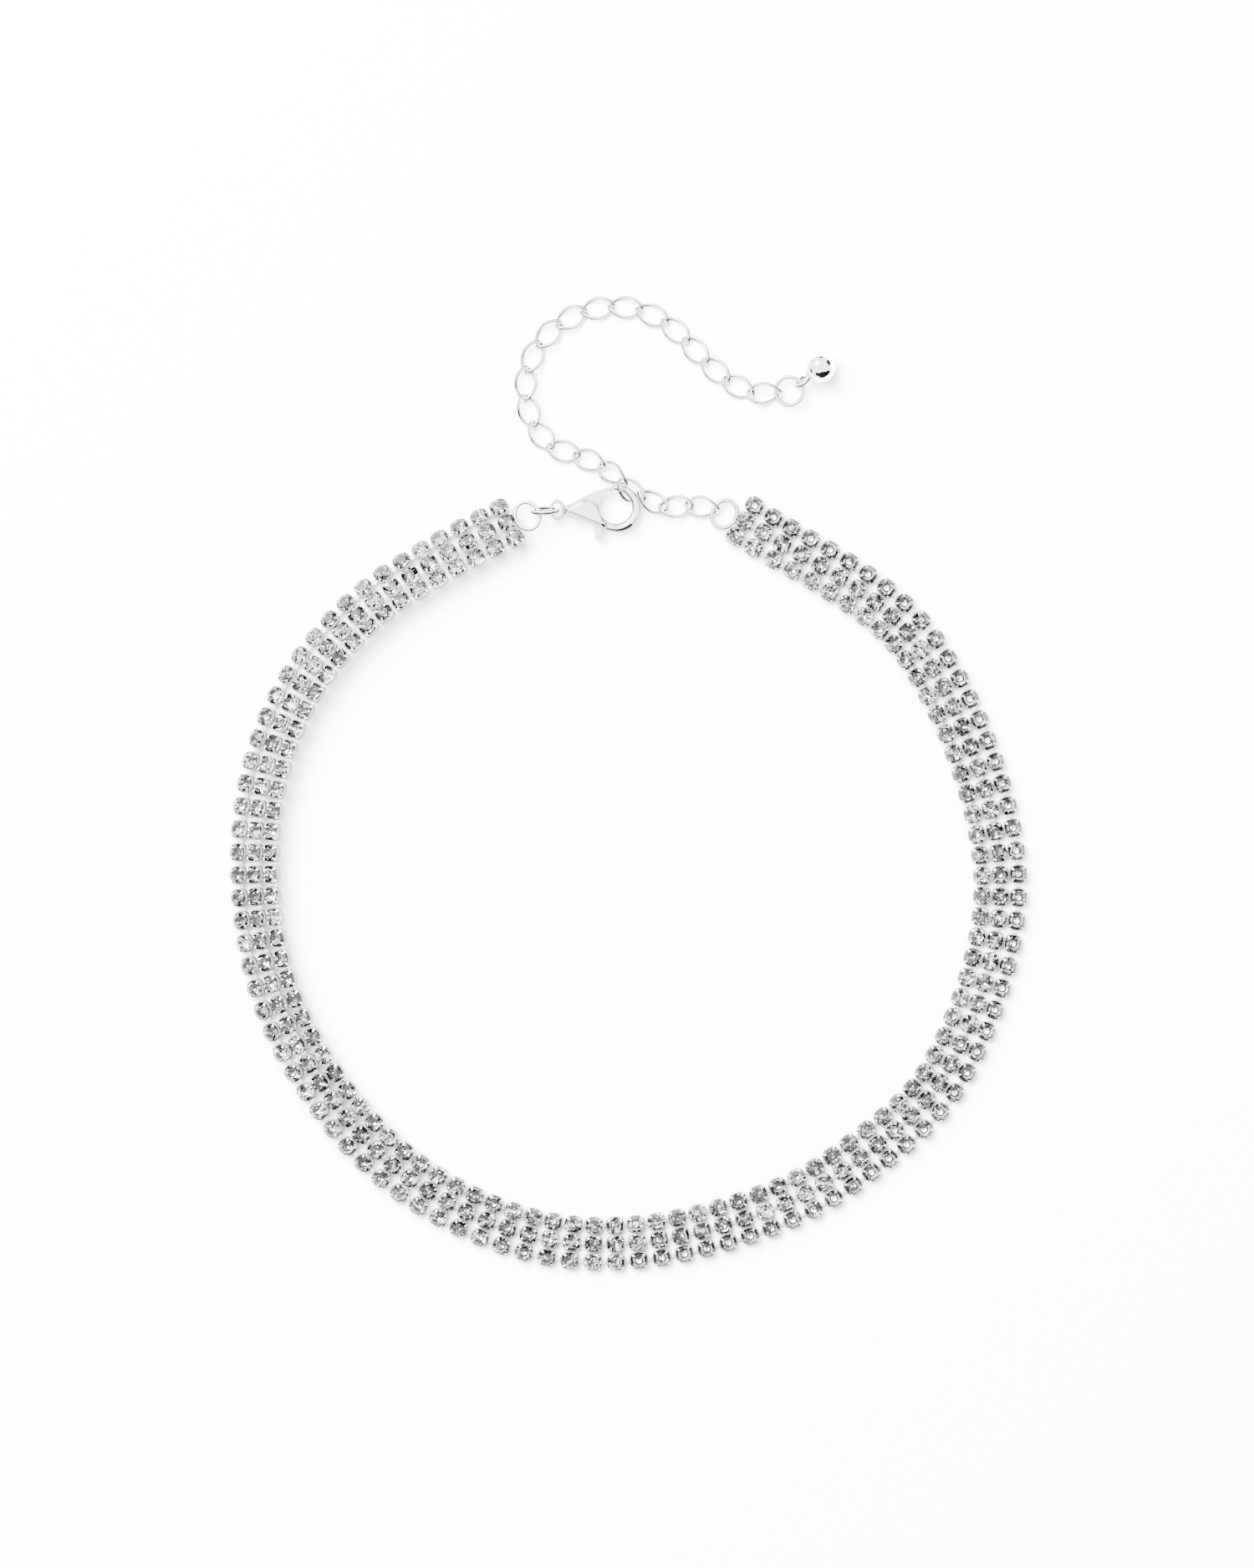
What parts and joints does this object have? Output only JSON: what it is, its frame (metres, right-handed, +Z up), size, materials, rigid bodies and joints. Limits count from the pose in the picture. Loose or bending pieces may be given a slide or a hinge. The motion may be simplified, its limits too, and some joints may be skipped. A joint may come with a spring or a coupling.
{
  "type": "choker necklace",
  "caption": "Rhinestone choker of claw-set stones in three rows, closed by a lobster clasp on a curb extension chain that ends in a polished ball.",
  "frame": {"origin": "middle of the part's box, on the table it lies on", "axes": "+Z up from the table, +Y from the band's loop towards the extension chain's loop, +X to the right"},
  "size_m": [0.1128, 0.1376, 0.0048],
  "materials": {
    "rhinestone_band": "clear faceted rhinestones in bright silver-plated claw cups",
    "silver": "bright polished silver plating"
  },
  "bodies": {
    "necklace": {"band_right": "rhinestone_band", "band_left": "rhinestone_band", "jump_ring": "silver", "clasp_body": "silver", "chain_link_01": "silver", "chain_link_02": "silver", "chain_link_03": "silver", "chain_link_04": "silver", "chain_link_05": "silver", "chain_link_06": "silver", "chain_link_07": "silver", "chain_link_08": "silver", "chain_link_09": "silver", "chain_link_10": "silver", "chain_link_11": "silver", "chain_link_12": "silver", "chain_link_13": "silver", "chain_link_14": "silver", "chain_link_15": "silver", "chain_link_16": "silver", "chain_link_17": "silver", "chain_link_18": "silver", "chain_link_19": "silver", "chain_link_20": "silver", "chain_link_21": "silver", "drop_ring": "silver", "ball_drop": "silver"},
    "lever": {"clasp_lever": "silver"}
  },
  "joints": [
    {"name": "lever_hinge", "type": "hinge", "parent": "necklace", "child": "lever", "pos_m": [-0.00612, 0.03896, 0.0013], "axis": [0, 0, -1], "range_deg": [0, 28], "stiffness_Nm_per_rad": 0.01, "springref_deg": -17.19}
  ]
}
